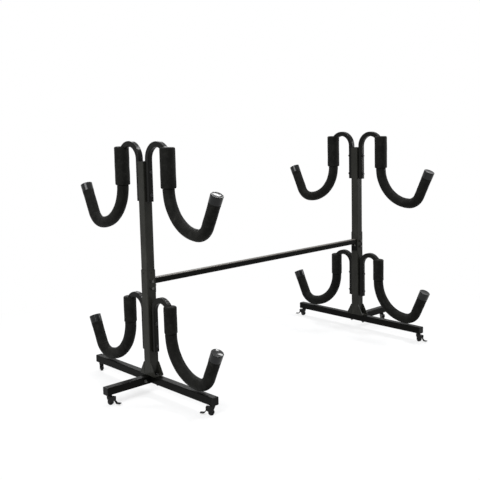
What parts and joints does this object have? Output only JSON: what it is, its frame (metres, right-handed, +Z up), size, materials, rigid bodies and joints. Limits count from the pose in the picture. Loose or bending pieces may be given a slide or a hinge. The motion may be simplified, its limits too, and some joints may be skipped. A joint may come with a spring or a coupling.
{
  "type": "freestanding kayak rack",
  "caption": "Freestanding rolling kayak rack: telescoping uprights on tube bases with outward legs, joined by a crossbar, with foam-padded J-shaped cradle arms on both sides.",
  "frame": {"origin": "on the floor, at the middle of the rack seen from above", "axes": "+X along the crossbar from the left upright to the right one, +Y from the front to the back, +Z up"},
  "size_m": [2.142, 1.1034, 1.23],
  "materials": {
    "powder_coat": "satin",
    "foam": "matte",
    "cap_gloss": "gloss",
    "cap_plastic": "satin",
    "zinc": "satin",
    "black_bolt": "satin",
    "caster_steel": "satin",
    "wheel_tread": "matte",
    "brake_plastic": "gloss"
  },
  "bodies": {
    "frame": {"left_base_tube": "powder_coat", "right_base_tube": "powder_coat", "left_outrigger": "powder_coat", "right_outrigger": "powder_coat", "left_lower_post": "powder_coat", "right_lower_post": "powder_coat", "crossbar": "powder_coat", "base_end_caps": "cap_plastic", "frame_bolts": "zinc", "clamp_screws": "zinc", "lower_left_front_arm": "powder_coat", "lower_left_back_arm": "powder_coat", "lower_right_front_arm": "powder_coat", "lower_right_back_arm": "powder_coat", "lower_left_front_cradle_pad": "foam", "lower_left_back_cradle_pad": "foam", "lower_right_front_cradle_pad": "foam", "lower_right_back_cradle_pad": "foam", "lower_leg_pads": "foam", "lower_tip_caps": "cap_gloss", "lower_arm_bolts": "black_bolt", "caster_stems": "caster_steel"},
    "left_mast": {"left_upper_post": "powder_coat", "left_post_cap": "cap_plastic", "upper_left_leg_pads": "foam", "upper_left_tip_caps": "cap_gloss", "upper_left_arm_bolts": "black_bolt", "upper_left_front_arm": "powder_coat", "upper_left_front_cradle_pad": "foam", "upper_left_back_arm": "powder_coat", "upper_left_back_cradle_pad": "foam"},
    "right_mast": {"right_upper_post": "powder_coat", "right_post_cap": "cap_plastic", "upper_right_leg_pads": "foam", "upper_right_tip_caps": "cap_gloss", "upper_right_arm_bolts": "black_bolt", "upper_right_front_arm": "powder_coat", "upper_right_front_cradle_pad": "foam", "upper_right_back_arm": "powder_coat", "upper_right_back_cradle_pad": "foam"},
    "front_left_swivel": {"front_left_fork": "caster_steel"},
    "front_left_roller": {"front_left_wheel": "wheel_tread"},
    "front_left_lever": {"front_left_brake": "brake_plastic"},
    "back_left_swivel": {"back_left_fork": "caster_steel"},
    "back_left_roller": {"back_left_wheel": "wheel_tread"},
    "back_left_lever": {"back_left_brake": "brake_plastic"},
    "side_left_swivel": {"side_left_fork": "caster_steel"},
    "side_left_roller": {"side_left_wheel": "wheel_tread"},
    "side_left_lever": {"side_left_brake": "brake_plastic"},
    "front_right_swivel": {"front_right_fork": "caster_steel"},
    "front_right_roller": {"front_right_wheel": "wheel_tread"},
    "front_right_lever": {"front_right_brake": "brake_plastic"},
    "back_right_swivel": {"back_right_fork": "caster_steel"},
    "back_right_roller": {"back_right_wheel": "wheel_tread"},
    "back_right_lever": {"back_right_brake": "brake_plastic"},
    "side_right_swivel": {"side_right_fork": "caster_steel"},
    "side_right_roller": {"side_right_wheel": "wheel_tread"},
    "side_right_lever": {"side_right_brake": "brake_plastic"}
  },
  "joints": [
    {"name": "left_height", "type": "slide", "parent": "frame", "child": "left_mast", "axis": [0, 0, 1], "range_m": [-0.07, 0.07]},
    {"name": "right_height", "type": "slide", "parent": "frame", "child": "right_mast", "axis": [0, 0, 1], "range_m": [-0.07, 0.07]},
    {"name": "front_left_swivel_turn", "type": "hinge", "parent": "frame", "child": "front_left_swivel", "pos_m": [-0.8, -0.454, 0.045], "axis": [0, 0, 1], "continuous": true},
    {"name": "front_left_wheel_spin", "type": "hinge", "parent": "front_left_swivel", "child": "front_left_roller", "pos_m": [-0.80344, -0.44909, 0.014], "axis": [-0.8192, -0.5736, 0], "continuous": true},
    {"name": "front_left_brake_lift", "type": "hinge", "parent": "front_left_swivel", "child": "front_left_lever", "pos_m": [-0.81434, -0.43352, 0.026], "axis": [0.8192, 0.5736, 0], "range_deg": [0, 25]},
    {"name": "back_left_swivel_turn", "type": "hinge", "parent": "frame", "child": "back_left_swivel", "pos_m": [-0.8, 0.454, 0.045], "axis": [0, 0, 1], "continuous": true},
    {"name": "back_left_wheel_spin", "type": "hinge", "parent": "back_left_swivel", "child": "back_left_roller", "pos_m": [-0.797, 0.4592, 0.014], "axis": [-0.866, 0.5, 0], "continuous": true},
    {"name": "back_left_brake_lift", "type": "hinge", "parent": "back_left_swivel", "child": "back_left_lever", "pos_m": [-0.7875, 0.47565, 0.026], "axis": [0.866, -0.5, 0], "range_deg": [0, 25]},
    {"name": "side_left_swivel_turn", "type": "hinge", "parent": "frame", "child": "side_left_swivel", "pos_m": [-1.05, 0, 0.045], "axis": [0, 0, 1], "continuous": true},
    {"name": "side_left_wheel_spin", "type": "hinge", "parent": "side_left_swivel", "child": "side_left_roller", "pos_m": [-1.04718, -0.0053, 0.014], "axis": [0.8829, 0.4695, 0], "continuous": true},
    {"name": "side_left_brake_lift", "type": "hinge", "parent": "side_left_swivel", "child": "side_left_lever", "pos_m": [-1.03826, -0.02207, 0.026], "axis": [-0.8829, -0.4695, 0], "range_deg": [0, 25]},
    {"name": "front_right_swivel_turn", "type": "hinge", "parent": "frame", "child": "front_right_swivel", "pos_m": [0.8, -0.454, 0.045], "axis": [0, 0, 1], "continuous": true},
    {"name": "front_right_wheel_spin", "type": "hinge", "parent": "front_right_swivel", "child": "front_right_roller", "pos_m": [0.8, -0.46, 0.014], "axis": [1, 0, 0], "continuous": true},
    {"name": "front_right_brake_lift", "type": "hinge", "parent": "front_right_swivel", "child": "front_right_lever", "pos_m": [0.8, -0.479, 0.026], "axis": [-1, 0, 0], "range_deg": [0, 25]},
    {"name": "back_right_swivel_turn", "type": "hinge", "parent": "frame", "child": "back_right_swivel", "pos_m": [0.8, 0.454, 0.045], "axis": [0, 0, 1], "continuous": true},
    {"name": "back_right_wheel_spin", "type": "hinge", "parent": "back_right_swivel", "child": "back_right_roller", "pos_m": [0.79795, 0.45964, 0.014], "axis": [-0.9397, -0.342, 0], "continuous": true},
    {"name": "back_right_brake_lift", "type": "hinge", "parent": "back_right_swivel", "child": "back_right_lever", "pos_m": [0.79145, 0.47749, 0.026], "axis": [0.9397, 0.342, 0], "range_deg": [0, 25]},
    {"name": "side_right_swivel_turn", "type": "hinge", "parent": "frame", "child": "side_right_swivel", "pos_m": [1.05, 0, 0.045], "axis": [0, 0, 1], "continuous": true},
    {"name": "side_right_wheel_spin", "type": "hinge", "parent": "side_right_swivel", "child": "side_right_roller", "pos_m": [1.04718, -0.0053, 0.014], "axis": [0.8829, -0.4695, 0], "continuous": true},
    {"name": "side_right_brake_lift", "type": "hinge", "parent": "side_right_swivel", "child": "side_right_lever", "pos_m": [1.03826, -0.02207, 0.026], "axis": [-0.8829, 0.4695, 0], "range_deg": [0, 25]}
  ]
}
